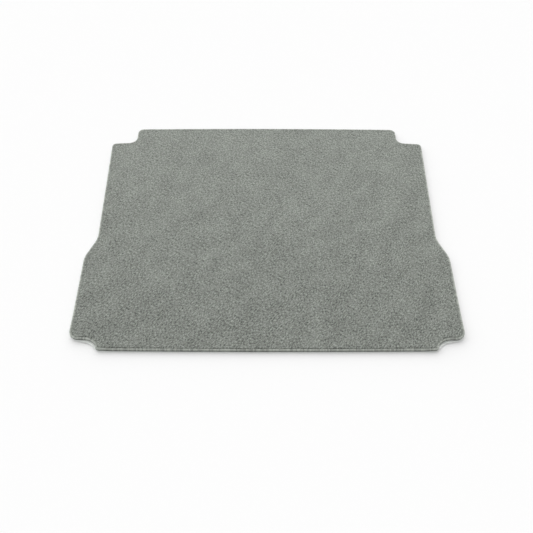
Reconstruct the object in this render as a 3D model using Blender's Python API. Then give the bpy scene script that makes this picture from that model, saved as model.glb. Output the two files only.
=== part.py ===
"""Load-floor carpet for the back of a family car.

A flat mat in three layers: a felt backing that lies on the floor, a pile carpet on top of it, and
a yarn binding that is stitched round the carpet's whole edge. Metres, +Z up. The origin is the
middle of the underside, +Y points to the back seats and -Y to the tailgate.
"""

import math

import bmesh
import bpy

# Plan sizes along the car, each from the tailgate edge or from the seat edge
MAT_DEPTH = 0.8482
TAILGATE_EDGE_BOW = 0.0022
TAILGATE_NOTCH_DEPTH = 0.0262
TAILGATE_CORNER_SETBACK = 0.0347
HIP_FROM_TAILGATE = 0.3118
WAIST_FROM_TAILGATE = 0.3799
SEAT_EDGE_BOW = 0.0037
SEAT_NOTCH_DEPTH = 0.0622
SHOULDER_SETBACK = 0.0674

# Plan sizes across the car, each a full width between the two sides' straight lines
TAILGATE_EDGE_WIDTH = 0.8664
TAILGATE_NOTCH_WIDTH = 0.8888
TAILGATE_CORNER_WIDTH = 1.0172
HIP_WIDTH = 1.0107
WAIST_WIDTH = 0.9536
SHOULDER_WIDTH = 0.9612
SEAT_NOTCH_WIDTH = 0.8132
SEAT_EDGE_WIDTH = 0.8105

# Corner radii of the plan outline
TAILGATE_EDGE_RADIUS = 0.0113
TAILGATE_NOTCH_RADIUS = 0.0359
TAILGATE_CORNER_RADIUS = 0.0260
HIP_RADIUS = 0.0800
WAIST_RADIUS = 0.0773
SHOULDER_RADIUS = 0.0137
SEAT_NOTCH_RADIUS = 0.0228
SEAT_EDGE_RADIUS = 0.0183

# Section sizes
BACKING_THICKNESS = 0.0028
BACKING_SIDE_SLANT = 0.0004
BACKING_EDGE_ROUNDING = 0.0005
BACKING_LEDGE_WIDTH = 0.0006
CARPET_THICKNESS = 0.0079
PRESSED_EDGE_THICKNESS = 0.0042
BINDING_WIDTH = 0.0056
BINDING_WALL = 0.0014
BINDING_OVER_THICKNESS = 0.0018
BINDING_UNDER_THICKNESS = 0.0012
BINDING_SHOULDER_ROUNDING = 0.0022
BINDING_FOOT_ROUNDING = 0.0026
BINDING_INNER_ROUNDING = 0.0012
FURROW_WIDTH = 0.0005
PILE_SHOULDER_WIDTH = 0.0012
PIECE_GAP = 0.0003

# Smoothness of the faceted curves
ARC_STEP = math.radians(11)
BOW_RUNS = 5
ROUNDING_RUNS = 3
SHARPEST_INSET_RADIUS = 0.0010

# Colour, roughness and metallic value of each material
BACKING_FELT = ((0.86, 0.88, 0.85, 1.0), 0.95, 0.0)
CARPET_PILE = ((0.250, 0.266, 0.240, 1.0), 1.0, 0.0)
BINDING_YARN = ((0.272, 0.288, 0.262, 1.0), 0.85, 0.0)


def clear_scene():
    """Remove what a new file holds, so that only the mat is left."""
    for old in list(bpy.data.objects):
        bpy.data.objects.remove(old, do_unlink=True)


def plain_material(name, look):
    """Return a Principled material with one colour, roughness and metallic value."""
    colour, roughness, metallic = look
    material = bpy.data.materials.new(name)
    material.use_nodes = True
    shader = material.node_tree.nodes["Principled BSDF"]
    shader.inputs["Base Color"].default_value = colour
    shader.inputs["Roughness"].default_value = roughness
    shader.inputs["Metallic"].default_value = metallic
    material.diffuse_color = colour
    return material


def bowed_edge(half_width, corner_y, bow):
    """Return the inner points of a shallow curve from the middle line to a corner."""
    points = []
    for step in range(BOW_RUNS):
        share = step / BOW_RUNS
        points.append((half_width * share, corner_y + bow * (1 - share ** 2), 0.0))
    return points


def outline_corners():
    """Return the plan outline's corners as (x, y, radius), counter-clockwise from above."""
    tailgate_line = TAILGATE_EDGE_BOW - MAT_DEPTH / 2
    seat_line = MAT_DEPTH / 2 - SEAT_EDGE_BOW
    tailgate_side = [
        (TAILGATE_EDGE_WIDTH / 2, tailgate_line, TAILGATE_EDGE_RADIUS),
        (TAILGATE_NOTCH_WIDTH / 2, tailgate_line + TAILGATE_NOTCH_DEPTH, TAILGATE_NOTCH_RADIUS),
        (TAILGATE_CORNER_WIDTH / 2, tailgate_line + TAILGATE_CORNER_SETBACK, TAILGATE_CORNER_RADIUS),
        (HIP_WIDTH / 2, HIP_FROM_TAILGATE - MAT_DEPTH / 2, HIP_RADIUS),
        (WAIST_WIDTH / 2, WAIST_FROM_TAILGATE - MAT_DEPTH / 2, WAIST_RADIUS),
    ]
    seat_side = [
        (SHOULDER_WIDTH / 2, seat_line - SHOULDER_SETBACK, SHOULDER_RADIUS),
        (SEAT_NOTCH_WIDTH / 2, seat_line - SEAT_NOTCH_DEPTH, SEAT_NOTCH_RADIUS),
        (SEAT_EDGE_WIDTH / 2, seat_line, SEAT_EDGE_RADIUS),
    ]
    tailgate_bow = bowed_edge(TAILGATE_EDGE_WIDTH / 2, tailgate_line, -TAILGATE_EDGE_BOW)
    seat_bow = bowed_edge(SEAT_EDGE_WIDTH / 2, seat_line, SEAT_EDGE_BOW)
    right_half = tailgate_bow + tailgate_side + seat_side + seat_bow[::-1]
    left_half = [(-x, y, radius) for x, y, radius in right_half[-2:0:-1]]
    return right_half + left_half


def run_direction(start, end):
    """Return the length and the unit direction of the straight run between two corners."""
    across = end[0] - start[0]
    along = end[1] - start[1]
    length = math.hypot(across, along)
    return length, across / length, along / length


def turn_at(before, corner, after):
    """Return the angle that the outline turns at a corner, positive to the left."""
    _, in_x, in_y = run_direction(before, corner)
    _, out_x, out_y = run_direction(corner, after)
    return math.atan2(in_x * out_y - in_y * out_x, in_x * out_x + in_y * out_y)


def inset_corners(corners, inset):
    """Move each straight run of the outline inward and return the new corners and radii."""
    moved = []
    for index, corner in enumerate(corners):
        before = corners[index - 1]
        after = corners[(index + 1) % len(corners)]
        _, in_x, in_y = run_direction(before, corner)
        turn = turn_at(before, corner, after)
        slide = inset * math.tan(turn / 2)
        x = corner[0] - in_y * inset - in_x * slide
        y = corner[1] + in_x * inset - in_y * slide
        radius = corner[2]
        if radius > 0:
            radius = max(radius - math.copysign(inset, turn), SHARPEST_INSET_RADIUS)
        moved.append((x, y, radius))
    return moved


def arc_reaches(corners):
    """Return how far each corner's arc reaches along its runs, cut back where two would meet."""
    reaches = []
    for index, corner in enumerate(corners):
        turn = turn_at(corners[index - 1], corner, corners[(index + 1) % len(corners)])
        reaches.append(corner[2] * math.tan(abs(turn) / 2))
    shares = [1.0] * len(corners)
    for index, corner in enumerate(corners):
        following = (index + 1) % len(corners)
        length = run_direction(corner, corners[following])[0]
        wanted = reaches[index] + reaches[following]
        if wanted > length:
            shares[index] = min(shares[index], length / wanted)
            shares[following] = min(shares[following], length / wanted)
    return [reach * share for reach, share in zip(reaches, shares)]


def rounded_outline(inset):
    """Return the plan outline's points, moved inward by the inset, with its corners rounded."""
    corners = inset_corners(outline_corners(), inset)
    reaches = arc_reaches(corners)
    points = []
    for index, (x, y, radius) in enumerate(corners):
        if radius == 0:
            points.append((x, y))
            continue
        before = corners[index - 1]
        after = corners[(index + 1) % len(corners)]
        turn = turn_at(before, (x, y), after)
        _, in_x, in_y = run_direction(before, (x, y))
        reach = reaches[index]
        side = math.copysign(reach / math.tan(abs(turn) / 2), turn)
        start_x = x - in_x * reach
        start_y = y - in_y * reach
        runs = math.ceil(abs(turn) / ARC_STEP)
        for step in range(runs + 1):
            angle = turn * step / runs
            ahead = side * math.sin(angle)
            aside = side * (1 - math.cos(angle))
            points.append((start_x + in_x * ahead - in_y * aside, start_y + in_y * ahead + in_x * aside))
    return points


def swept_body(name, profile, material, is_ring):
    """Sweep a section of (inset, height) points round the outline, as a ring or a capped plate."""
    mesh = bpy.data.meshes.new(name)
    shape = bmesh.new()
    rings = []
    for inset, height in profile:
        outline = rounded_outline(inset)
        rings.append([shape.verts.new((x, y, height)) for x, y in outline])
    pairs = list(zip(rings, rings[1:]))
    if is_ring:
        pairs.append((rings[-1], rings[0]))
    else:
        shape.faces.new(rings[0][::-1])
        shape.faces.new(rings[-1])
    for lower, upper in pairs:
        for index in range(len(lower)):
            following = (index + 1) % len(lower)
            shape.faces.new((lower[index], lower[following], upper[following], upper[index]))
    shape.to_mesh(mesh)
    shape.free()
    mesh.materials.append(material)
    body = bpy.data.objects.new(name, mesh)
    bpy.context.collection.objects.link(body)
    return body


def quarter_turn(start, end, level_first):
    """Return the points of a rounded corner from one section point to the next."""
    points = []
    for step in range(1, ROUNDING_RUNS + 1):
        angle = math.pi / 2 * step / ROUNDING_RUNS
        eased = 1 - math.cos(angle)
        share_inset = math.sin(angle) if level_first else eased
        share_height = eased if level_first else math.sin(angle)
        points.append((start[0] + (end[0] - start[0]) * share_inset,
                       start[1] + (end[1] - start[1]) * share_height))
    return points


def carpet_heights():
    """Return the heights of the carpet's underside, pressed edge and pile top."""
    underside = BACKING_THICKNESS + PIECE_GAP
    pressed_bottom = underside + BINDING_UNDER_THICKNESS + PIECE_GAP
    pressed_top = pressed_bottom + PRESSED_EDGE_THICKNESS
    pile_top = underside + CARPET_THICKNESS
    return underside, pressed_bottom, pressed_top, pile_top


def binding_insets():
    """Return how far the binding's outer and inner sides lie inside the backing's outline."""
    outer = BACKING_SIDE_SLANT + BACKING_LEDGE_WIDTH
    return outer, outer + BINDING_WIDTH


def make_backing():
    """Model the felt backing: a flat plate with slanted sides, wider than the carpet on it."""
    inner = BACKING_SIDE_SLANT + BACKING_EDGE_ROUNDING
    profile = [(BACKING_EDGE_ROUNDING, 0.0)]
    profile += quarter_turn(profile[-1], (0.0, BACKING_EDGE_ROUNDING), True)
    profile.append((BACKING_SIDE_SLANT, BACKING_THICKNESS - BACKING_EDGE_ROUNDING))
    profile += quarter_turn(profile[-1], (inner, BACKING_THICKNESS), False)
    return swept_body("backing_pad", profile, plain_material("backing_felt", BACKING_FELT), False)


def make_carpet():
    """Model the pile carpet, pressed thin at its edge where the binding grips it."""
    underside, pressed_bottom, pressed_top, pile_top = carpet_heights()
    outer, inner = binding_insets()
    pressed_edge = outer + BINDING_WALL + PIECE_GAP
    seat = inner + PIECE_GAP
    furrow_end = seat + FURROW_WIDTH
    profile = [(seat, underside), (seat, pressed_bottom)]
    profile += [(pressed_edge, pressed_bottom), (pressed_edge, pressed_top), (furrow_end, pressed_top)]
    profile += quarter_turn(profile[-1], (furrow_end + PILE_SHOULDER_WIDTH, pile_top), False)
    return swept_body("carpet_pile", profile, plain_material("carpet_pile", CARPET_PILE), False)


def make_binding():
    """Model the stitched yarn binding: a rounded C section that wraps the carpet's pressed edge."""
    underside, pressed_bottom, pressed_top, _ = carpet_heights()
    outer, inner = binding_insets()
    cavity = outer + BINDING_WALL
    under_arm_top = pressed_bottom - PIECE_GAP
    over_arm_bottom = pressed_top + PIECE_GAP
    top = over_arm_bottom + BINDING_OVER_THICKNESS
    shoulder = top - BINDING_SHOULDER_ROUNDING
    foot_rounding = min(BINDING_FOOT_ROUNDING, shoulder - underside)
    profile = [(outer + foot_rounding, underside)]
    profile += quarter_turn(profile[-1], (outer, underside + foot_rounding), True)
    profile.append((outer, shoulder))
    profile += quarter_turn(profile[-1], (outer + BINDING_SHOULDER_ROUNDING, top), False)
    profile.append((inner - BINDING_INNER_ROUNDING, top))
    profile += quarter_turn(profile[-1], (inner, top - BINDING_INNER_ROUNDING), True)
    profile += [(inner, over_arm_bottom), (cavity, over_arm_bottom), (cavity, under_arm_top)]
    profile += [(inner, under_arm_top), (inner, underside)]
    return swept_body("edge_binding", profile, plain_material("binding_yarn", BINDING_YARN), True)


def main():
    """Build the mat."""
    clear_scene()
    make_backing()
    make_carpet()
    make_binding()


main()
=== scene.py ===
"""Dresses a car's load-floor carpet: its pile, the yarn round its edge, its felt and a studio.

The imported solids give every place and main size. Each piece is a mesh made here in code, in metres,
in the part's own frame: +Z up, +Y to the back seats and -Y to the tailgate.
"""

import math

import bmesh
import bpy
import numpy as np
from mathutils import Matrix, Vector, kdtree, noise
from mathutils.geometry import delaunay_2d_cdt


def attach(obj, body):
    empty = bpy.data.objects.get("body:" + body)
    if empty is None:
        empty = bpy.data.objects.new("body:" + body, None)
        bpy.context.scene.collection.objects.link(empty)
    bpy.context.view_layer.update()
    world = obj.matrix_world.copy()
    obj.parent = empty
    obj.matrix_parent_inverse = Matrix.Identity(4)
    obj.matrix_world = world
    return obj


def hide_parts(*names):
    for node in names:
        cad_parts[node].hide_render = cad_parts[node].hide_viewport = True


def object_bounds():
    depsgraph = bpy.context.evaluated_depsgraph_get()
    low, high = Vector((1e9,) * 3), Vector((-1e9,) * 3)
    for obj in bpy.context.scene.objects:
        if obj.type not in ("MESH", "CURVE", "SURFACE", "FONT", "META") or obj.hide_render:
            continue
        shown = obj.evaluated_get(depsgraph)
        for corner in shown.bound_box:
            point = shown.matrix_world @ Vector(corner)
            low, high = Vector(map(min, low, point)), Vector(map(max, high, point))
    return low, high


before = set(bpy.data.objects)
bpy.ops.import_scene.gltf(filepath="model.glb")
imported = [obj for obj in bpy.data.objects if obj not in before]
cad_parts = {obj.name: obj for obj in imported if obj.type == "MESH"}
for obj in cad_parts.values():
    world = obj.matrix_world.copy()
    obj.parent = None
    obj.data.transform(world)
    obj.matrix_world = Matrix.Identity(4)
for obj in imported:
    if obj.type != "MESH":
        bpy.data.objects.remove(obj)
cad_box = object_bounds()

bl_info = {
    "name": "Load-floor carpet",
    "version": (1, 0, 0),
    "blender": (4, 5, 0),
    "location": "View3D > Sidebar > Carpet",
    "description": "Models and lights a pile carpet for the back of a car",
    "category": "Object",
}

MILLIMETRE = 0.001
WELD = 0.00001
SEED = 7


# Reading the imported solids


def enclosed_area(points):
    """Return the area inside a loop of points, positive when it runs counter-clockwise."""
    following = np.roll(points, -1, axis=0)
    return np.sum(points[:, 0] * following[:, 1] - points[:, 1] * following[:, 0]) / 2


def section_of(node):
    """Return a CAD node's section on the middle line at the tailgate edge, as (inset, height)."""
    tailgate = cad_box[0].y
    section = set()
    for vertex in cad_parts[node].data.vertices:
        if abs(vertex.co.x) < WELD and vertex.co.y < 0:
            section.add((round(vertex.co.y - tailgate, 6), round(vertex.co.z, 6)))
    if not section:
        raise RuntimeError(f"{node} has no points on the middle line")
    return sorted(section)


def widest_ring(node):
    """Return the points of a CAD node's outermost level ring, counter-clockwise from above."""
    shape = bmesh.new()
    shape.from_mesh(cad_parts[node].data)
    bmesh.ops.remove_doubles(shape, verts=shape.verts, dist=WELD)
    reach = max(vertex.co.x for vertex in shape.verts)
    level = min(vertex.co.z for vertex in shape.verts if vertex.co.x > reach - WELD)
    ring = {vertex for vertex in shape.verts if abs(vertex.co.z - level) < WELD}
    walked = [min(ring, key=lambda vertex: (vertex.co.y, vertex.co.x))]
    while True:
        beside = [edge.other_vert(walked[-1]) for edge in walked[-1].link_edges]
        ahead = [vertex for vertex in beside if vertex in ring and vertex not in walked[-2:]]
        if not ahead or (len(walked) > 2 and walked[0] in ahead):
            break
        walked.append(ahead[0])
    points = np.array([vertex.co.xy for vertex in walked])
    shape.free()
    if len(points) != len(ring):
        raise RuntimeError(f"{node} has no single ring at its widest level")
    return points if enclosed_area(points) > 0 else points[::-1]


def closed_outline():
    """Return the mat's outline, ending where it starts, and how far along it each point lies."""
    corners = widest_ring("backing_pad")
    closed = np.vstack([corners, corners[:1]])
    lengths = np.linalg.norm(np.diff(closed, axis=0), axis=1)
    return closed, np.concatenate([[0.0], np.cumsum(lengths)])


def outline_length():
    """Return the length of the mat's outline."""
    return closed_outline()[1][-1]


def smoothed(values):
    """Return values round a closed loop, each mixed half and half with the two beside it."""
    return (np.roll(values, 1, axis=0) + 2 * values + np.roll(values, -1, axis=0)) / 4


class EdgeTrack:
    """Even points round the mat's outline, or a line moved in or out from it in the notches."""

    FACET_SMOOTHING = 0.0012
    INSET_SMOOTHING = 4
    NOTCH_START = 0.002
    NOTCH_RAMP = 0.005
    ROOM_SHARE = 0.85
    LEAST_BEND = 1e-6

    def __init__(self, count, notch_shift=0.0, side_shift=0.0):
        closed, travelled = closed_outline()
        self.length = travelled[-1]
        self.run = np.arange(count) * self.length / count
        points = np.stack([np.interp(self.run, travelled, closed[:, axis]) for axis in (0, 1)],
                          axis=1)
        for _ in range(math.ceil(2 * (self.FACET_SMOOTHING * count / self.length) ** 2)):
            points = smoothed(points)
        self.face_inward(points)
        shift = self.notch_share() * (notch_shift + side_shift * np.abs(self.inward[:, 0]))
        self.face_inward(points + self.inward * shift[:, None])

    def face_inward(self, points):
        """Take the points, and find the direction inward at each and the room for an inset."""
        self.points = points
        ahead = np.roll(points, -1, axis=0) - np.roll(points, 1, axis=0)
        ahead /= np.linalg.norm(ahead, axis=1)[:, None]
        self.inward = np.stack([-ahead[:, 1], ahead[:, 0]], axis=1)
        onward = np.roll(ahead, -1, axis=0)
        backward = np.roll(ahead, 1, axis=0)
        turn = backward[:, 0] * onward[:, 1] - backward[:, 1] * onward[:, 0]
        bend = np.maximum(turn * len(points) / (2 * self.length), self.LEAST_BEND)
        self.room = self.ROOM_SHARE / bend

    def notch_share(self):
        """Return 1 at the points inside the tailgate's notches, 0 elsewhere, with soft ends."""
        # A point's depth is how far it lies inside the hull of the outline, folded left onto right
        turns = np.radians(np.arange(0.0, 90.0, 1.0))
        outward = np.stack([np.sin(turns), -np.cos(turns)])
        folded = np.stack([np.abs(self.points[:, 0]), self.points[:, 1]], axis=1)
        along = folded @ outward
        depth = (along.max(axis=0) - along).min(axis=1)
        widest = self.points[self.points[:, 0].argmax()][1]
        inside = np.clip((depth - self.NOTCH_START) / self.NOTCH_RAMP, 0.0, 1.0)
        return (self.points[:, 1] < widest) * inside

    def off_tailgate(self):
        """Return 1 where the outline faces left, right or the seats, less to 0 at the tailgate."""
        return np.where(self.inward[:, 1] < 0, 1.0, np.abs(self.inward[:, 0]))

    def inset(self, distance):
        """Return the outline's points moved inward, less far where a corner is too tight."""
        reach = np.minimum(distance, self.room)
        for _ in range(self.INSET_SMOOTHING):
            reach = smoothed(reach)
        return self.points + self.inward * reach[:, None]


class EdgeFinder:
    """Finds how far points lie inside the mat's outline, and where along it."""

    SPACING = 0.0008

    def __init__(self, *shifts):
        count = int(outline_length() / self.SPACING)
        self.track = EdgeTrack(count, *shifts)
        self.tree = kdtree.KDTree(count)
        for index, (x, y) in enumerate(self.track.points):
            self.tree.insert((x, y, 0.0), index)
        self.tree.balance()

    def off_tailgate(self, run):
        """Return 1 where the outline at a run faces left, right or the seats, 0 at the tailgate."""
        nearest = np.searchsorted(self.track.run, run - self.SPACING / 2) % len(self.track.points)
        return self.track.off_tailgate()[nearest]

    def measure(self, points):
        """Return each point's signed distance inside the outline and its run along it."""
        nearest = np.array([self.tree.find((x, y, 0.0))[1] for x, y in points])
        offset = points - self.track.points[nearest]
        inside = np.sum(offset * self.track.inward[nearest], axis=1)
        distance = np.linalg.norm(offset, axis=1) * np.sign(inside)
        return distance, self.track.run[nearest]


# Mesh building

# Where the lift of the tailgate corners starts and ends, as shares of half the width and depth
LIFT_ACROSS = (0.78, 0.90)
LIFT_BACK = (0.70, 0.88)

# What the triangulation gives back, and how near two points count as one
TRIANGLES_INSIDE = 1
SAME_POINT = 1e-8


def lattice(half_x, half_y, spacing, jitter, rng):
    """Return a triangular lattice of points with each point moved a little at random."""
    row_pitch = spacing * math.sqrt(3) / 2
    rows = int(half_y / row_pitch)
    columns = int(half_x / spacing) + 1
    row, column = np.meshgrid(np.arange(-rows, rows + 1), np.arange(-columns, columns + 1),
                              indexing="ij")
    x = (column + (row % 2) / 2) * spacing
    points = np.stack([x.ravel(), (row * row_pitch).ravel()], axis=1)
    return points + rng.uniform(-jitter, jitter, points.shape)


def field_inside(finder, margin, spacing, jitter, rng):
    """Return the points of a lattice that lie inside the outline by more than a margin."""
    field = lattice(cad_box[1].x, cad_box[1].y, spacing, jitter, rng)
    distance, _ = finder.measure(field)
    return field[distance > margin]


def triangles_inside(border, inner):
    """Return the triangles that join a border loop and the points inside it, facing up."""
    points = np.vstack([border, inner])
    loop = list(range(len(border)))
    result = delaunay_2d_cdt([Vector(point) for point in points], [], [loop],
                             TRIANGLES_INSIDE, SAME_POINT, False)
    if len(result[0]) != len(points):
        raise RuntimeError("two points of a flat field lie on each other")
    triangles = np.array(result[2])
    # A triangle across a notch has all its corners on the border and runs round them backward
    a, b, c = triangles.T
    forward = (a < b) & (b < c) | (b < c) & (c < a) | (c < a) & (a < b)
    return triangles[forward | (triangles.max(axis=1) >= len(border))]


def ring_quads(lower, upper):
    """Return the quads between two rings of vertex numbers, facing out when going up."""
    return np.stack([lower, np.roll(lower, -1), np.roll(upper, -1), upper], axis=1)


def section_arc(centre, radius, start, end, count):
    """Return an arc's points in a section, each with its direction out from the centre."""
    turns = np.radians(np.linspace(start, end, count))
    return [(centre[0] + radius * math.cos(turn), centre[1] + radius * math.sin(turn),
             math.cos(turn), math.sin(turn)) for turn in turns]


def heights_added(points, height):
    """Return x and y points with one height, or an array of heights, as the third coordinate."""
    return np.column_stack([points, np.broadcast_to(height, len(points))])


def smooth_step(values, start, end):
    """Return 0 before the start and 1 after the end, with a soft rise between."""
    share = np.clip((values - start) / (end - start), 0.0, 1.0)
    return share * share * (3 - 2 * share)


def corners_lifted(points, lift):
    """Raise the two tailgate corners, where the loose tabs beside the notches curl up."""
    half = cad_box[1]
    out = smooth_step(np.abs(points[:, 0]), *(share * half.x for share in LIFT_ACROSS))
    back = smooth_step(-points[:, 1], *(share * half.y for share in LIFT_BACK))
    return points + np.outer(out * back * lift, (0.0, 0.0, 1.0))


def mesh_object(name, points, faces, material, smooth=True):
    """Make an object from points and lists of faces, and give it its material."""
    mesh = bpy.data.meshes.new(name)
    listed = [face for block in faces for face in block.tolist()]
    mesh.from_pydata(points.tolist(), [], listed)
    mesh.validate()
    if smooth:
        mesh.shade_smooth()
    mesh.materials.append(material)
    piece = bpy.data.objects.new(name, mesh)
    bpy.context.collection.objects.link(piece)
    return piece


def store_values(piece, name, values):
    """Store a value for each point of a piece, which its material reads by name."""
    piece.data.attributes.new(name, "FLOAT", "POINT").data.foreach_set("value", values)


def noise_values(points, size, seed):
    """Return smooth noise from -1 to 1 at x, y points, with features of about the given size."""
    return np.array([noise.noise(Vector((x / size, y / size, seed))) for x, y in points])


def wander_along(run, level, waves):
    """Return a soft random wander along a run. Each wave is its reach, its size and its seed."""
    along = np.stack([run, np.full(len(run), level)], axis=1)
    return sum(reach * noise_values(along, size, seed) for reach, size, seed in waves)


# Materials

WHITE = (1.0, 1.0, 1.0, 1.0)
PALE_GREEN_SHEEN = (0.9, 0.95, 0.88, 1.0)

# How much clumps, fibres and single tufts add to the pile's relief, and its darkest shade
CLUMP_RELIEF = 0.6
FIBRE_RELIEF = 0.35
TUFT_RELIEF = -0.5
DARKEST_PILE = 0.15

# Where the yarn's painted shade and painted highlights change, in millimetres round the wrap from its
# foot: painted shade in the groove, a painted highlight on the shoulder and on the outer part
GROOVE_TO_SHOULDER = (6.0, 7.6)
SHOULDER_TO_TOP = (8.6, 10.4)
OUTER_TO_INNER = (10.0, 15.0)

# The yarn's twisted plies and fuzz, its slow drift of shade and the height of its relief
PLY_TURN = 5.0
PLY_SHADE = 0.05
PLY_RELIEF = 0.25
FUZZ_SIZE = 0.0009
FUZZ_SHADE = 0.35
DRIFT_SIZE = 0.011
YARN_RELIEF = 0.0004

# The felt's matted fibres, its rows of needle marks and the height of its relief
MATTING_SIZE = 0.006
MATTING_SHADE = 0.16
FELT_FIBRE_SIZE = 0.0008
FELT_FIBRE_SHADE = 0.14
FELT_FIBRE_RELIEF = 0.5
NEEDLE_SPACING = 0.0028
NEEDLE_SCATTER = 0.7
NEEDLE_REACH = 0.35
NEEDLE_SOFTNESS = 0.2
NEEDLE_SHADE = 0.25
FELT_RELIEF = 0.0006


class Nodes:
    """A short way to write the node tree of a material or a world."""

    def __init__(self, owner, output="ShaderNodeOutputMaterial"):
        owner.use_nodes = True
        self.tree = owner.node_tree
        self.tree.nodes.clear()
        self.output = self.tree.nodes.new(output)

    def add(self, kind, inputs=None, **settings):
        """Add a node, set its properties, and set or link its inputs."""
        node = self.tree.nodes.new(kind)
        for key, value in settings.items():
            setattr(node, key, value)
        for key, value in (inputs or {}).items():
            self.feed(node.inputs[key], value)
        return node

    def feed(self, socket, value):
        """Link an output to a socket, or set the socket's value."""
        if isinstance(value, bpy.types.NodeSocket):
            self.tree.links.new(value, socket)
        else:
            socket.default_value = value

    def math(self, operation, *values):
        """Add a math node and return its output."""
        node = self.add("ShaderNodeMath", operation=operation)
        for socket, value in zip(node.inputs, values):
            self.feed(socket, value)
        return node.outputs[0]

    def noise(self, vector, size, detail=2.0, roughness=0.5, distortion=0.0, flat=False):
        """Add noise with features of about the given size, in 3D or seen flat from above."""
        node = self.add("ShaderNodeTexNoise", {
            "Vector": vector, "Scale": 1 / size, "Detail": detail,
            "Roughness": roughness, "Distortion": distortion},
            noise_dimensions="2D" if flat else "3D")
        return node.outputs["Fac"]

    def ramp(self, value, span, low, high):
        """Return a soft change from low to high while a value crosses a span."""
        node = self.add("ShaderNodeMapRange", {
            "Value": value, "From Min": span[0], "From Max": span[1],
            "To Min": low, "To Max": high}, interpolation_type="SMOOTHSTEP")
        return node.outputs["Result"]

    def stored(self, name):
        """Return the value that a piece's points store under a name."""
        return self.add("ShaderNodeAttribute", attribute_name=name).outputs["Fac"]

    def centred(self, value, weight):
        """Return the value's departure from one half, times a weight."""
        return self.math("MULTIPLY", self.math("SUBTRACT", value, 0.5), weight)

    def total(self, *values):
        """Return the sum of several values."""
        result = values[0]
        for value in values[1:]:
            result = self.math("ADD", result, value)
        return result

    def tint(self, colour, brightness):
        """Return a colour times a brightness that varies over the surface."""
        node = self.add("ShaderNodeVectorMath", operation="SCALE")
        self.feed(node.inputs[0], tuple(colour[:3]))
        self.feed(node.inputs["Scale"], brightness)
        return node.outputs[0]

    def cloth(self, colour, height, relief, finish):
        """Give the surface its colour, a relief of the given height and an even finish."""
        bump = self.add("ShaderNodeBump", {"Height": height, "Distance": relief, "Strength": 1.0})
        shader = self.add("ShaderNodeBsdfPrincipled", {
            "Base Color": colour, "Normal": bump.outputs[0], **finish})
        self.feed(self.output.inputs["Surface"], shader.outputs[0])


def carpet_material(look):
    """Cut pile: a shade for each tuft, clumps of tufts, fine fibres, soft blotches and a sheen, with
    painted shade in its pits and furrow and painted light toward the seats.
    """
    material = bpy.data.materials.new("cut_pile")
    nodes = Nodes(material)
    place = nodes.add("ShaderNodeTexCoord").outputs["Object"]
    leaning = nodes.add("ShaderNodeMapping", {
        "Vector": place, "Rotation": (0.0, 0.0, look.lean),
        "Scale": (look.stretch, 1 / look.stretch, 1.0)}, vector_type="TEXTURE").outputs[0]
    cells = nodes.add("ShaderNodeTexVoronoi", {"Vector": leaning, "Scale": 1 / look.tuft_size})
    shade = nodes.add("ShaderNodeTexWhiteNoise", {"Vector": cells.outputs["Position"]})
    clumps = nodes.noise(leaning, look.clump_size, detail=0.0, flat=True)
    fibres = nodes.noise(leaning, look.fibre_size, detail=2.0, roughness=0.7)
    blotches = nodes.noise(leaning, look.blotch_size, detail=4.0, roughness=0.6)
    toward_seats = nodes.add("ShaderNodeSeparateXYZ", {"Vector": place}).outputs["Y"]
    brightness = nodes.total(
        1.0,
        nodes.centred(shade.outputs["Value"], look.shade_contrast),
        nodes.centred(clumps, look.clump_contrast),
        nodes.centred(fibres, look.fibre_contrast),
        nodes.centred(blotches, look.blotch_contrast),
        # Painted shade in the pits between tufts and in the pressed-flat furrow, and painted light on
        # the high tips
        nodes.math("MULTIPLY", nodes.stored("tuft"), look.painted_pit_shade),
        # Painted light that grows from the tailgate toward the seats
        nodes.math("MULTIPLY", toward_seats, look.fade / (cad_box[1].y - cad_box[0].y)))
    height = nodes.total(
        nodes.math("MULTIPLY", clumps, CLUMP_RELIEF),
        nodes.math("MULTIPLY", fibres, FIBRE_RELIEF),
        nodes.math("MULTIPLY", cells.outputs["Distance"], TUFT_RELIEF))
    colour = nodes.tint(look.colour, nodes.math("MAXIMUM", brightness, DARKEST_PILE))
    nodes.cloth(colour, height, look.bump_height, {
        "Roughness": 0.95, "Specular IOR Level": 0.15, "Sheen Weight": look.sheen,
        "Sheen Roughness": 0.5, "Sheen Tint": PALE_GREEN_SHEEN})
    return material


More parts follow.
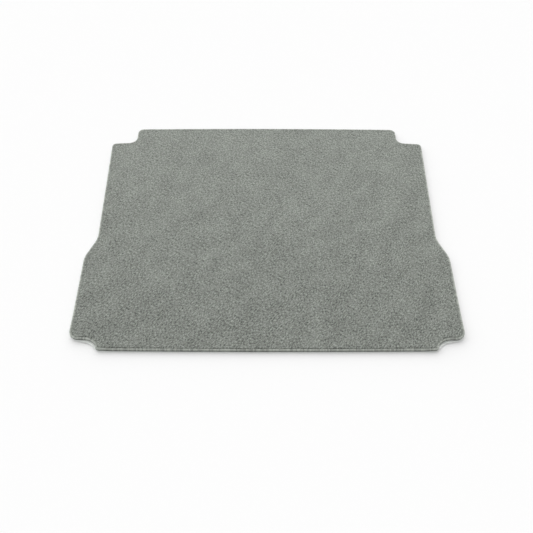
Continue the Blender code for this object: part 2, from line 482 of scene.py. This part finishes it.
def yarn_material(look):
    """Overlocked yarn: each stitch a little lighter or darker, with the twist of its plies, painted
    shade at its foot and painted highlights on its shoulder and outer part.
    """
    material = bpy.data.materials.new("overlock_yarn")
    nodes = Nodes(material)
    place = nodes.add("ShaderNodeTexCoord").outputs["Object"]
    run = nodes.add("ShaderNodeUVMap", uv_map="StitchRun").outputs[0]
    split = nodes.add("ShaderNodeSeparateXYZ", {"Vector": run})
    along, around = split.outputs["X"], split.outputs["Y"]
    shade = nodes.add("ShaderNodeTexWhiteNoise", {"W": nodes.math("FLOOR", along)},
                      noise_dimensions="1D").outputs["Value"]
    across = nodes.math("MULTIPLY", nodes.math("FRACT", along), math.tau)
    twist = nodes.math("SINE", nodes.math("ADD", nodes.math("MULTIPLY", around, PLY_TURN), across))
    fuzz = nodes.noise(place, FUZZ_SIZE, detail=2.0, roughness=0.7)
    drift = nodes.noise(place, DRIFT_SIZE, detail=1.0)
    # A painted highlight on the yarn's outer part away from the tailgate, where the rim catches the
    # light
    painted_rim_ramp = nodes.ramp(around, OUTER_TO_INNER, look.painted_rim_highlight, 0.0)
    # Painted shade in the groove at the yarn's foot, and a painted highlight where it rounds the
    # shoulder
    brightness = nodes.total(
        nodes.ramp(around, GROOVE_TO_SHOULDER, look.painted_groove_shade, look.painted_shoulder_highlight),
        nodes.ramp(around, SHOULDER_TO_TOP, 0.0, 1.0 - look.painted_shoulder_highlight),
        nodes.math("MULTIPLY", painted_rim_ramp, nodes.stored("off_tailgate")),
        nodes.centred(shade, look.stitch_contrast),
        nodes.centred(fuzz, FUZZ_SHADE),
        nodes.centred(drift, look.drift_contrast),
        nodes.math("MULTIPLY", twist, PLY_SHADE))
    height = nodes.total(nodes.math("MULTIPLY", twist, PLY_RELIEF), fuzz)
    nodes.cloth(nodes.tint(look.colour, brightness), height, YARN_RELIEF, {
        "Roughness": 0.8, "Specular IOR Level": 0.3, "Sheen Weight": 0.2,
        "Sheen Roughness": 0.4, "Sheen Tint": PALE_GREEN_SHEEN})
    return material


def felt_material(look):
    """Needled felt: matted fibres with rows of fine needle marks."""
    material = bpy.data.materials.new("needled_felt")
    nodes = Nodes(material)
    place = nodes.add("ShaderNodeTexCoord").outputs["Object"]
    matting = nodes.noise(place, MATTING_SIZE, detail=3.0, roughness=0.6, distortion=1.2)
    fibres = nodes.noise(place, FELT_FIBRE_SIZE, detail=2.0, roughness=0.7)
    needles = nodes.add("ShaderNodeTexVoronoi", {
        "Vector": place, "Scale": 1 / NEEDLE_SPACING, "Randomness": NEEDLE_SCATTER})
    dimple = nodes.math("SMOOTH_MIN", needles.outputs["Distance"], NEEDLE_REACH, NEEDLE_SOFTNESS)
    brightness = nodes.total(
        1.0,
        nodes.centred(matting, MATTING_SHADE),
        nodes.centred(fibres, FELT_FIBRE_SHADE),
        nodes.centred(dimple, NEEDLE_SHADE))
    height = nodes.total(dimple, nodes.math("MULTIPLY", fibres, FELT_FIBRE_RELIEF), matting)
    nodes.cloth(nodes.tint(look.colour, brightness), height, FELT_RELIEF, {
        "Roughness": 0.95, "Specular IOR Level": 0.15, "Sheen Weight": 0.1,
        "Sheen Roughness": 0.5})
    return material


# Settings that a user would change


class CarpetLook(bpy.types.PropertyGroup):
    """The pile carpet's finish, with its painted shade and painted light."""

    colour: bpy.props.FloatVectorProperty(
        name="Pile colour", description="Mean colour of the pile", subtype="COLOR", size=3,
        min=0.0, max=1.0, default=(0.2235, 0.2385, 0.2157))
    point_spacing: bpy.props.FloatProperty(
        name="Tuft spacing", description="Distance between the modelled tufts", unit="LENGTH",
        default=0.0033, min=0.0032, max=0.02, precision=5)
    tuft_height: bpy.props.FloatProperty(
        name="Tuft height", description="How unevenly the tufts stand", unit="LENGTH",
        default=0.00022, min=0.0, max=0.002, precision=5)
    lump_height: bpy.props.FloatProperty(
        name="Lump height", description="How far the pile rises and falls in soft lumps",
        unit="LENGTH", default=0.00025, min=0.0, max=0.002, precision=5)
    lump_size: bpy.props.FloatProperty(
        name="Lump size", description="Distance across one soft lump", unit="LENGTH",
        default=0.009, min=0.004, max=0.1, precision=4)
    tuft_size: bpy.props.FloatProperty(
        name="Tuft size", description="Distance across one tuft's patch of shade", unit="LENGTH",
        default=0.0026, min=0.001, max=0.02, precision=5)
    clump_size: bpy.props.FloatProperty(
        name="Clump size", description="Distance across one clump of tufts", unit="LENGTH",
        default=0.0044, min=0.001, max=0.05, precision=5)
    fibre_size: bpy.props.FloatProperty(
        name="Fibre size", description="Distance across the finest fibres", unit="LENGTH",
        default=0.0013, min=0.0002, max=0.01, precision=5)
    blotch_size: bpy.props.FloatProperty(
        name="Blotch size", description="Distance across one soft patch of shade", unit="LENGTH",
        default=0.055, min=0.01, max=1.0)
    shade_contrast: bpy.props.FloatProperty(
        name="Tuft contrast", description="Light and dark between tufts",
        default=0.46, min=0.0, max=4.0)
    clump_contrast: bpy.props.FloatProperty(
        name="Clump contrast", description="Light and dark between clumps",
        default=1.50, min=0.0, max=4.0)
    fibre_contrast: bpy.props.FloatProperty(
        name="Fibre contrast", description="Light and dark between fibres",
        default=0.72, min=0.0, max=4.0)
    blotch_contrast: bpy.props.FloatProperty(
        name="Blotch contrast", description="Light and dark between patches",
        default=0.75, min=0.0, max=2.0)
    # Painted shade: the pits and the pressed furrow darker, the tips lighter
    painted_pit_shade: bpy.props.FloatProperty(
        name="Depth contrast", description="How much lighter the tips are than the pits",
        default=0.04, min=0.0, max=0.5)
    # Painted light: the pile is painted lighter toward the seats
    fade: bpy.props.FloatProperty(
        name="Fade", description="How much lighter the pile is at the seats than at the tailgate",
        default=0.17, min=-1.0, max=1.0)
    bump_height: bpy.props.FloatProperty(
        name="Bump height", description="Height of the fine relief", unit="LENGTH",
        default=0.0016, min=0.0, max=0.01, precision=5)
    lean: bpy.props.FloatProperty(
        name="Lean", description="Direction in which the tufts are drawn out", subtype="ANGLE",
        default=math.radians(55), min=-math.pi, max=math.pi)
    stretch: bpy.props.FloatProperty(
        name="Stretch", description="How far the tufts are drawn out",
        default=1.35, min=1.0, max=3.0)
    sheen: bpy.props.FloatProperty(
        name="Sheen", description="Soft light that the pile gives back at low angles",
        subtype="FACTOR", default=0.9, min=0.0, max=1.0)


class BindingLook(bpy.types.PropertyGroup):
    """The stitched edge's finish, with its painted shade and painted highlights."""

    colour: bpy.props.FloatVectorProperty(
        name="Yarn colour", description="Mean colour of the yarn", subtype="COLOR", size=3,
        min=0.0, max=1.0, default=(0.291, 0.3085, 0.280))
    stitch_pitch: bpy.props.FloatProperty(
        name="Stitch pitch", description="Distance from one stitch to the next", unit="LENGTH",
        default=0.0036, min=0.0033, max=0.02, precision=5)
    yarn_depth: bpy.props.FloatProperty(
        name="Yarn depth", description="How deep the valleys between the stitches are",
        unit="LENGTH", default=0.0005, min=0.0, max=0.001, precision=5)
    slant: bpy.props.FloatProperty(
        name="Slant", description="How many stitches the yarn leans along the edge as it wraps it",
        default=0.8, min=-3.0, max=3.0)
    # Painted shade where the yarn runs down into the groove above the backing
    painted_groove_shade: bpy.props.FloatProperty(
        name="Foot shade", description="How dark the yarn is in the groove above the backing",
        subtype="FACTOR", default=0.60, min=0.0, max=1.0)
    # Painted highlight where the yarn rounds the edge
    painted_shoulder_highlight: bpy.props.FloatProperty(
        name="Shoulder shade", description="How pale the yarn is where it rounds the edge",
        default=1.5, min=0.5, max=2.0)
    # Painted highlight on the yarn's outer part away from the tailgate
    painted_rim_highlight: bpy.props.FloatProperty(
        name="Side shade",
        description="How much paler the yarn's outer part is away from the tailgate",
        default=0.5, min=0.0, max=1.0)
    stitch_contrast: bpy.props.FloatProperty(
        name="Stitch contrast", description="Light and dark between stitches",
        default=0.6, min=0.0, max=2.0)
    drift_contrast: bpy.props.FloatProperty(
        name="Drift contrast", description="Slow change of shade along the edge",
        default=0.65, min=0.0, max=2.0)


class BackingLook(bpy.types.PropertyGroup):
    """The felt backing's finish."""

    colour: bpy.props.FloatVectorProperty(
        name="Felt colour", description="Mean colour of the felt", subtype="COLOR", size=3,
        min=0.0, max=1.0, default=(0.94, 0.965, 0.935))
    notch_ledge: bpy.props.FloatProperty(
        name="Ledge in the notches",
        description="How much more of the backing shows in the notches",
        unit="LENGTH", default=0.0036, min=0.0, max=0.005, precision=5)
    notch_fill: bpy.props.FloatProperty(
        name="Fill of the notches",
        description="How much further out the mat reaches in the notches",
        unit="LENGTH", default=0.0016, min=0.0, max=0.005, precision=5)
    side_ledge: bpy.props.FloatProperty(
        name="Ledge at a notch's side",
        description="How much more shows where a notch runs front to back",
        unit="LENGTH", default=0.0013, min=0.0, max=0.003, precision=5)
    corner_lift: bpy.props.FloatProperty(
        name="Corner lift", description="How far the two tailgate corners curl up from the floor",
        unit="LENGTH", default=0.003, min=0.0, max=0.008, precision=5)
    waviness: bpy.props.FloatProperty(
        name="Edge waviness", description="How far the cut edge wanders", unit="LENGTH",
        default=0.0002, min=0.0, max=0.001, precision=5)


class StudioLook(bpy.types.PropertyGroup):
    """The camera, the lamps and the floor."""

    lens: bpy.props.FloatProperty(
        name="Lens", description="Focal length on a 36 mm wide sensor, in millimetres",
        default=57.015, min=10.0, max=300.0)
    pitch: bpy.props.FloatProperty(
        name="Pitch", description="How far the camera looks down", subtype="ANGLE",
        default=math.radians(50), min=0.0, max=math.radians(90))
    camera_place: bpy.props.FloatVectorProperty(
        name="Camera place", description="Where the camera stands", subtype="TRANSLATION", size=3,
        default=(-0.0007, -1.6296, 1.7781))
    yaw: bpy.props.FloatProperty(
        name="Yaw",
        description="How far the camera is turned round the mat's middle", subtype="ANGLE",
        default=-0.0054, min=-0.5, max=0.5)
    roll: bpy.props.FloatProperty(
        name="Roll", description="How far the camera leans to one side", subtype="ANGLE",
        default=0.0058, min=-0.5, max=0.5)
    window: bpy.props.FloatProperty(
        name="Window light", description="Share of the light that comes from the back left",
        subtype="FACTOR", default=0.44, min=0.0, max=2.0)
    window_bearing: bpy.props.FloatProperty(
        name="Window bearing", description="How far left of straight behind the window stands",
        subtype="ANGLE", default=math.radians(25), min=-math.pi, max=math.pi)
    window_height: bpy.props.FloatProperty(
        name="Window height", description="How far above the floor the window's middle stands",
        subtype="ANGLE", default=math.radians(35), min=0.1, max=math.pi / 2)
    window_width: bpy.props.FloatProperty(
        name="Window width", description="How wide the window looks from the mat",
        subtype="ANGLE", default=math.radians(105), min=0.0, max=math.pi)
    sky: bpy.props.FloatProperty(
        name="Surrounding light", description="Share of the light that comes from all round",
        subtype="FACTOR", default=0.53, min=0.0, max=2.0)
    floor_shade: bpy.props.FloatProperty(
        name="Floor shade", description="How pale the floor is", subtype="FACTOR",
        default=0.90, min=0.0, max=1.0)


# Pieces


def carpet_shifts(backing):
    """Return how far the pile and yarn lie in from the outline in a notch, and more at its side."""
    return backing.notch_ledge - backing.notch_fill, backing.side_ledge


class PileSection:
    """How far in, and how high, the carpet solid's pressed edge, seat, furrow and pile are."""

    def __init__(self):
        section = section_of("carpet_pile")
        self.edge = section[0][0]
        self.edge_bottom, self.edge_top = (
            height for inset, height in section if inset == self.edge)
        self.underside = min(height for _, height in section)
        self.top = max(height for _, height in section)
        self.seat = min(inset for inset, height in section if height == self.underside)
        self.furrow_end = min(
            inset for inset, height in section if inset > self.seat and height >= self.edge_top)
        self.shoulder = max(inset for inset, _ in section) - self.furrow_end


class CARPET_OT_pile(bpy.types.Operator):
    """Model the pile carpet with its uneven tufts, its furrow and its pressed edge"""

    bl_idname = "carpet.pile"
    bl_label = "Pile carpet"

    # Rings of tufts along the edge, where the uneven field starts, and how uneven it is
    RINGS = (0.0001, 0.0006, 0.0012, 0.0022, 0.0038)
    HIDDEN_RING = 0.0030
    RING_SLACK = WELD * 10
    FIELD_START = 0.0058
    JITTER = 0.22

    # The pile's shoulder beside the furrow, which is narrower away from the tailgate
    SHOULDER_SHARE = 0.6
    CLOSING = 0.0008
    FURROW_WAVES = ((0.0009, 0.011, 3.1), (0.0007, 0.0047, 8.2))

    # The most that a tuft departs from the mean, its share in the painted pit shade, and the lumps'
    # seed
    TUFT_LIMIT = 2.5
    TUFT_SHADE = 0.6
    LUMP_SEED = 5.5

    UNDERSIDE_SPACING = 0.012
    UNDERSIDE_MARGIN = 0.006

    def execute(self, context):
        look = context.scene.carpet_look
        backing = context.scene.backing_look
        rng = np.random.default_rng(SEED)
        section = PileSection()
        shifts = carpet_shifts(backing)
        finder = EdgeFinder(*shifts)
        count = int(finder.track.length / look.point_spacing)
        track = EdgeTrack(count, *shifts)
        border = track.points + track.inward * section.edge
        inner = self.tuft_places(section, track, finder, look.point_spacing, rng)
        triangles = triangles_inside(border, inner)
        flat = np.vstack([border, inner])
        height, shade = self.tuft_heights(section, flat, finder, look, rng)

        top = heights_added(flat, height)
        seat = track.inset(section.seat)
        low_rings = [heights_added(border, section.edge_bottom),
                     heights_added(seat, section.edge_bottom),
                     heights_added(seat, section.underside)]
        base_inner = field_inside(
            finder, section.seat + self.UNDERSIDE_MARGIN, self.UNDERSIDE_SPACING, 0.0, rng)
        base = triangles_inside(seat, base_inner)

        points = np.vstack([top] + low_rings + [heights_added(base_inner, section.underside)])
        ring = np.arange(count)
        outer, under, seat_ring = (
            ring + len(top) + step * count for step in range(len(low_rings)))
        inner_numbers = np.arange(len(base_inner)) + len(top) + len(low_rings) * count
        base_numbers = np.concatenate([seat_ring, inner_numbers])
        faces = [triangles, ring_quads(outer, ring), ring_quads(under, outer),
                 ring_quads(seat_ring, under), base_numbers[base][:, ::-1]]
        points = corners_lifted(points, backing.corner_lift)
        piece = mesh_object("cut_pile_carpet", points, faces, carpet_material(look))
        # The stored tuft value carries the painted pit shade that the material reads
        store_values(piece, "tuft", np.concatenate([shade, np.zeros(len(points) - len(top))]))
        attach(piece, "root")
        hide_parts("carpet_pile")
        return {"FINISHED"}

    def tuft_places(self, section, track, finder, spacing, rng):
        """Return where the tufts stand: in rings along the edge and in an uneven field."""
        starts = [section.edge + self.HIDDEN_RING]
        starts += [section.furrow_end + offset for offset in self.RINGS]
        kept = []
        for start in starts:
            row = track.points + track.inward * start
            distance, _ = finder.measure(row)
            kept.append(row[distance > start - self.RING_SLACK])
        margin = section.furrow_end + self.FIELD_START
        kept.append(field_inside(finder, margin, spacing, spacing * self.JITTER, rng))
        return np.vstack(kept)

    def tuft_heights(self, section, flat, finder, look, rng):
        """Return each point's height and its painted shade, darker where it stands lower and -1 where
        the pile is pressed flat.
        """
        distance, run = finder.measure(flat)
        start = section.furrow_end + wander_along(run, 0.0, self.FURROW_WAVES)
        start -= self.CLOSING * finder.off_tailgate(run)
        rise = np.clip((distance - start) / (section.shoulder * self.SHOULDER_SHARE), 0.0, 1.0)
        swell = np.sqrt(1 - (1 - rise) ** 2)
        tuft = rng.normal(0.0, 1.0, len(flat)).clip(-self.TUFT_LIMIT, self.TUFT_LIMIT)
        lump = noise_values(flat, look.lump_size, self.LUMP_SEED)
        loose = swell ** 2
        height = section.edge_top + (section.top - section.edge_top) * swell
        height += loose * (tuft * look.tuft_height + lump * look.lump_height)
        return height, loose * (self.TUFT_SHADE * tuft + lump) - (1 - loose)


class CARPET_OT_binding(bpy.types.Operator):
    """Model the yarn that is stitched over the carpet's edge, one rib for each stitch"""

    bl_idname = "carpet.binding"
    bl_label = "Edge binding"

    COLUMNS_PER_STITCH = 5
    ARC_POINTS = 4
    LIP_POINTS = 3
    TUCK = 0.0005
    SHOULDER_SHARE = 0.62

    # How far round the wrap the yarn leans, and the length that the map gives to the last face
    LEANING_WRAP = 0.014
    LAST_WRAP = 1.0

    # The thinnest stitch's fullness, the longest one's extra reach and the faces that it moves
    LEAST_FULLNESS = 0.75
    LONGER = 0.0003
    FACING_OUT = 0.5

    def execute(self, context):
        look = context.scene.binding_look
        backing = context.scene.backing_look
        stitches = int(outline_length() / look.stitch_pitch)
        count = stitches * self.COLUMNS_PER_STITCH
        track = EdgeTrack(count, *carpet_shifts(backing))
        column = np.arange(count) / self.COLUMNS_PER_STITCH
        rng = np.random.default_rng(SEED + 1)
        fullness = rng.uniform(self.LEAST_FULLNESS, 1.0, stitches)
        reach = rng.uniform(-1.0, 1.0, stitches)

        outline = self.wrap_section()
        previous = outline[0][:2]
        travelled = 0.0
        rings = []
        wraps = []
        for inset, height, out_inset, out_height, share in outline:
            travelled += math.hypot(inset - previous[0], height - previous[1])
            previous = (inset, height)
            phase = column + look.slant * min(travelled, self.LEANING_WRAP) / self.LEANING_WRAP
            stitch = np.floor(phase).astype(int) % stitches
            within = phase - np.floor(phase)
            rib = np.sqrt(np.sin(np.pi * within).clip(0.0, 1.0)) * fullness[stitch]
            valley = (1 - rib) * look.yarn_depth * share
            longer = self.LONGER * reach[stitch] if out_inset > self.FACING_OUT else 0.0
            moved = track.inset(inset) - track.inward * (valley * out_inset - longer)[:, None]
            rings.append(heights_added(moved, height - valley * out_height))
            wraps.append(travelled / MILLIMETRE)
        points = corners_lifted(np.vstack(rings), backing.corner_lift)
        ring = np.arange(count)
        sections = len(rings)
        faces = [ring_quads(ring + step * count, ring + (step + 1) % sections * count)
                 for step in range(sections)]
        piece = mesh_object("overlocked_edge", points, faces, yarn_material(look))
        self.lay_stitch_map(piece, count, wraps + [wraps[-1] + self.LAST_WRAP])
        # Where the painted rim highlight applies: 1 away from the tailgate, less to 0 at it
        store_values(piece, "off_tailgate", np.tile(track.off_tailgate(), sections))
        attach(piece, "root")
        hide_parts("edge_binding")
        return {"FINISHED"}

    def wrap_section(self):
        """Return the yarn's section: inset, height, the way out in both, and the rib's share."""
        section = section_of("edge_binding")
        at_height = {}
        for inset, height in section:
            at_height.setdefault(height, []).append(inset)
        bottom, top = min(at_height), max(at_height)
        outer, inner = section[0][0], section[-1][0]
        _, under_top, over_bottom = sorted(
            height for inset, height in section if inset == inner)[:3]
        wall = min(at_height[under_top])
        foot = min(at_height[bottom]) - outer
        shoulder = (min(at_height[top]) - outer) * self.SHOULDER_SHARE
        lip = inner - max(at_height[top])

        foot_arc = section_arc(
            (outer + foot, bottom + foot), foot, -90, -180, self.ARC_POINTS)
        shoulder_arc = section_arc(
            (outer + shoulder, top - shoulder), shoulder, 180, 90, self.ARC_POINTS)
        lip_arc = section_arc((inner - lip, top - lip), lip, 90, 0, self.LIP_POINTS)
        rounded = [(*point, step / (self.ARC_POINTS - 1)) for step, point in enumerate(foot_arc)]
        rounded.append((outer, (bottom + foot + top - shoulder) / 2, -1.0, 0.0, 1.0))
        rounded += [(*point, 1.0) for point in shoulder_arc]
        rounded.append(((outer + shoulder + inner - lip) / 2, top, 0.0, 1.0, 1.0))
        rounded += [(*point, 1.0) for point in lip_arc]
        tuck = inner - self.TUCK
        hidden = [(inner, over_bottom + self.TUCK), (tuck, over_bottom), (wall, over_bottom),
                  (wall, under_top), (tuck, under_top), (tuck, bottom)]
        return rounded + [(*point, 0.0, 0.0, 0.0) for point in hidden]

    def lay_stitch_map(self, piece, count, wraps):
        """Map the surface by stitch number along the edge and millimetres round the yarn."""
        layer = piece.data.uv_layers.new(name="StitchRun")
        start = np.tile(np.arange(count), len(wraps) - 1) / self.COLUMNS_PER_STITCH
        end = start + 1 / self.COLUMNS_PER_STITCH
        low = np.repeat(wraps[:-1], count)
        high = np.repeat(wraps[1:], count)
        across = np.stack([start, end, end, start], axis=1)
        around = np.stack([low, low, high, high], axis=1)
        layer.data.foreach_set("uv", np.stack([across, around], axis=2).ravel())


class CARPET_OT_backing(bpy.types.Operator):
    """Model the felt backing with its soft cut edge"""

    bl_idname = "carpet.backing"
    bl_label = "Felt backing"

    EDGE_SPACING = 0.002
    LIP = 0.002
    FIELD_SPACING = 0.010
    FIELD_MARGIN = 0.008

    # Each level of the cut edge wanders in its own way, set by its height times a spread
    EDGE_WAVES = ((1.0, 0.006, 2.2), (1.0, 0.0027, 4.4))
    LEVEL_SPREAD = 2.5

    def execute(self, context):
        look = context.scene.backing_look
        side = sorted(section_of("backing_pad"), key=lambda point: point[1])
        outer = side[0][0]
        inner, thickness = side[-1]
        shifts = (-look.notch_fill, -look.side_ledge)
        finder = EdgeFinder(*shifts)
        count = int(finder.track.length / self.EDGE_SPACING)
        track = EdgeTrack(count, *shifts)
        levels = [(outer + self.LIP, 0.0)] + side + [(inner + self.LIP, thickness)]
        rings = []
        for inset, height in levels:
            waviness = look.waviness if 0.0 < height < thickness else 0.0
            wander = wander_along(track.run, height * self.LEVEL_SPREAD, self.EDGE_WAVES)
            edge = track.inset(inset) + track.inward * (waviness * wander)[:, None]
            rings.append(heights_added(edge, height))
        field = field_inside(finder, inner + self.FIELD_MARGIN, self.FIELD_SPACING, 0.0,
                             np.random.default_rng(SEED))
        cap = triangles_inside(rings[0][:, :2], field)
        points = np.vstack(rings + [heights_added(field, 0.0), heights_added(field, thickness)])
        ring = np.arange(count)
        top_ring = ring + (len(levels) - 1) * count
        inner_numbers = np.arange(len(field)) + len(levels) * count
        low_numbers = np.concatenate([ring, inner_numbers])
        high_numbers = np.concatenate([top_ring, inner_numbers + len(field)])
        faces = [ring_quads(ring + step * count, ring + (step + 1) * count)
                 for step in range(len(levels) - 1)]
        faces += [low_numbers[cap][:, ::-1], high_numbers[cap]]
        points = corners_lifted(points, look.corner_lift)
        piece = mesh_object("felt_backing", points, faces, felt_material(look))
        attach(piece, "root")
        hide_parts("backing_pad")
        return {"FINISHED"}


# Studio


def seen_by_camera(nodes):
    """Return 1 for what the camera sees, also in a mirror or through glass, and 0 for lighting."""
    path = nodes.add("ShaderNodeLightPath")
    seen = nodes.math("MAXIMUM", path.outputs["Is Camera Ray"], path.outputs["Is Glossy Ray"])
    return nodes.math("MAXIMUM", seen, path.outputs["Is Transmission Ray"])


class CARPET_OT_studio(bpy.types.Operator):
    """Set up the floor, the window lamp, the surrounding light and the camera"""

    bl_idname = "carpet.studio"
    bl_label = "Studio"

    FLOOR_HALF = 12.0
    FLOOR_DROP = 0.0002
    SENSOR_WIDTH = 36.0

    def execute(self, context):
        look = context.scene.studio_look
        self.make_floor(look)
        self.make_sky(context.scene, look.sky)
        self.make_window(look)
        self.make_camera(context.scene, look)
        context.scene.view_settings.view_transform = "Standard"
        return {"FINISHED"}

    def make_floor(self, look):
        """Lay a pale floor that shows near white and keeps the carpet's shadow."""
        material = bpy.data.materials.new("pale_floor")
        nodes = Nodes(material)
        diffuse = nodes.add("ShaderNodeBsdfDiffuse", {"Color": (look.floor_shade,) * 3 + (1.0,)})
        glow = nodes.add("ShaderNodeEmission", {
            "Color": WHITE,
            "Strength": nodes.math("MULTIPLY", seen_by_camera(nodes), 1.0 - look.floor_shade)})
        both = nodes.add("ShaderNodeAddShader", {0: diffuse.outputs[0], 1: glow.outputs[0]})
        nodes.feed(nodes.output.inputs["Surface"], both.outputs[0])
        half = self.FLOOR_HALF
        corners = np.array([(-half, -half), (half, -half), (half, half), (-half, half)])
        floor = mesh_object("studio_floor", heights_added(corners, -self.FLOOR_DROP),
                            [np.array([[0, 1, 2, 3]])], material, smooth=False)

    def make_sky(self, scene, strength):
        """Light the object evenly from all round, and show white behind it."""
        world = bpy.data.worlds.new("studio_surround")
        nodes = Nodes(world, "ShaderNodeOutputWorld")
        lighting = nodes.add("ShaderNodeBackground", {"Color": WHITE, "Strength": strength})
        shown = nodes.add("ShaderNodeBackground", {"Color": WHITE})
        mix = nodes.add("ShaderNodeMixShader", {
            0: seen_by_camera(nodes), 1: lighting.outputs[0], 2: shown.outputs[0]})
        nodes.feed(nodes.output.inputs["Surface"], mix.outputs[0])
        scene.world = world

    def make_window(self, look):
        """Add a far lamp that is a soft disc of the window's angular width."""
        lamp = bpy.data.lights.new("window_lamp", "SUN")
        lamp.energy = look.window * math.pi / math.sin(look.window_height)
        lamp.angle = look.window_width
        holder = bpy.data.objects.new("window_lamp", lamp)
        holder.rotation_euler = (math.pi / 2 - look.window_height, 0.0,
                                 math.pi + look.window_bearing)
        bpy.context.collection.objects.link(holder)

    def make_camera(self, scene, look):
        """Stand the camera behind the car, looking down at the carpet."""
        camera = bpy.data.cameras.new("photo_camera")
        camera.lens = look.lens
        camera.sensor_width = self.SENSOR_WIDTH
        holder = bpy.data.objects.new("photo_camera", camera)
        holder.matrix_world = (
            Matrix.Rotation(look.yaw, 4, "Z")
            @ Matrix.Translation(look.camera_place)
            @ Matrix.Rotation(math.pi / 2 - look.pitch, 4, "X")
            @ Matrix.Rotation(look.roll, 4, "Z"))
        bpy.context.collection.objects.link(holder)
        scene.camera = holder


class CARPET_PT_sidebar(bpy.types.Panel):
    """Lists the pieces and their settings"""

    bl_idname = "CARPET_PT_sidebar"
    bl_label = "Load-floor carpet"
    bl_space_type = "VIEW_3D"
    bl_region_type = "UI"
    bl_category = "Carpet"

    def draw(self, context):
        for operator, settings in STEPS:
            box = self.layout.box()
            box.operator(operator)
            look = getattr(context.scene, settings)
            for name in look.__annotations__:
                box.prop(look, name)


STEPS = (
    ("carpet.backing", "backing_look"),
    ("carpet.pile", "carpet_look"),
    ("carpet.binding", "binding_look"),
    ("carpet.studio", "studio_look"),
)
LOOKS = {
    "backing_look": BackingLook,
    "carpet_look": CarpetLook,
    "binding_look": BindingLook,
    "studio_look": StudioLook,
}
CLASSES = tuple(LOOKS.values()) + (
    CARPET_OT_backing, CARPET_OT_pile, CARPET_OT_binding, CARPET_OT_studio, CARPET_PT_sidebar)


def register():
    """Register the classes and hang the settings on the scene."""
    for part in CLASSES:
        bpy.utils.register_class(part)
    for name, group in LOOKS.items():
        setattr(bpy.types.Scene, name, bpy.props.PointerProperty(type=group))


def unregister():
    """Take the settings and the classes away again."""
    for name in LOOKS:
        delattr(bpy.types.Scene, name)
    for part in reversed(CLASSES):
        bpy.utils.unregister_class(part)


def main():
    """Make every piece and the studio."""
    register()
    bpy.ops.carpet.backing()
    bpy.ops.carpet.pile()
    bpy.ops.carpet.binding()
    bpy.ops.carpet.studio()


if __name__ == "__main__":
    main()
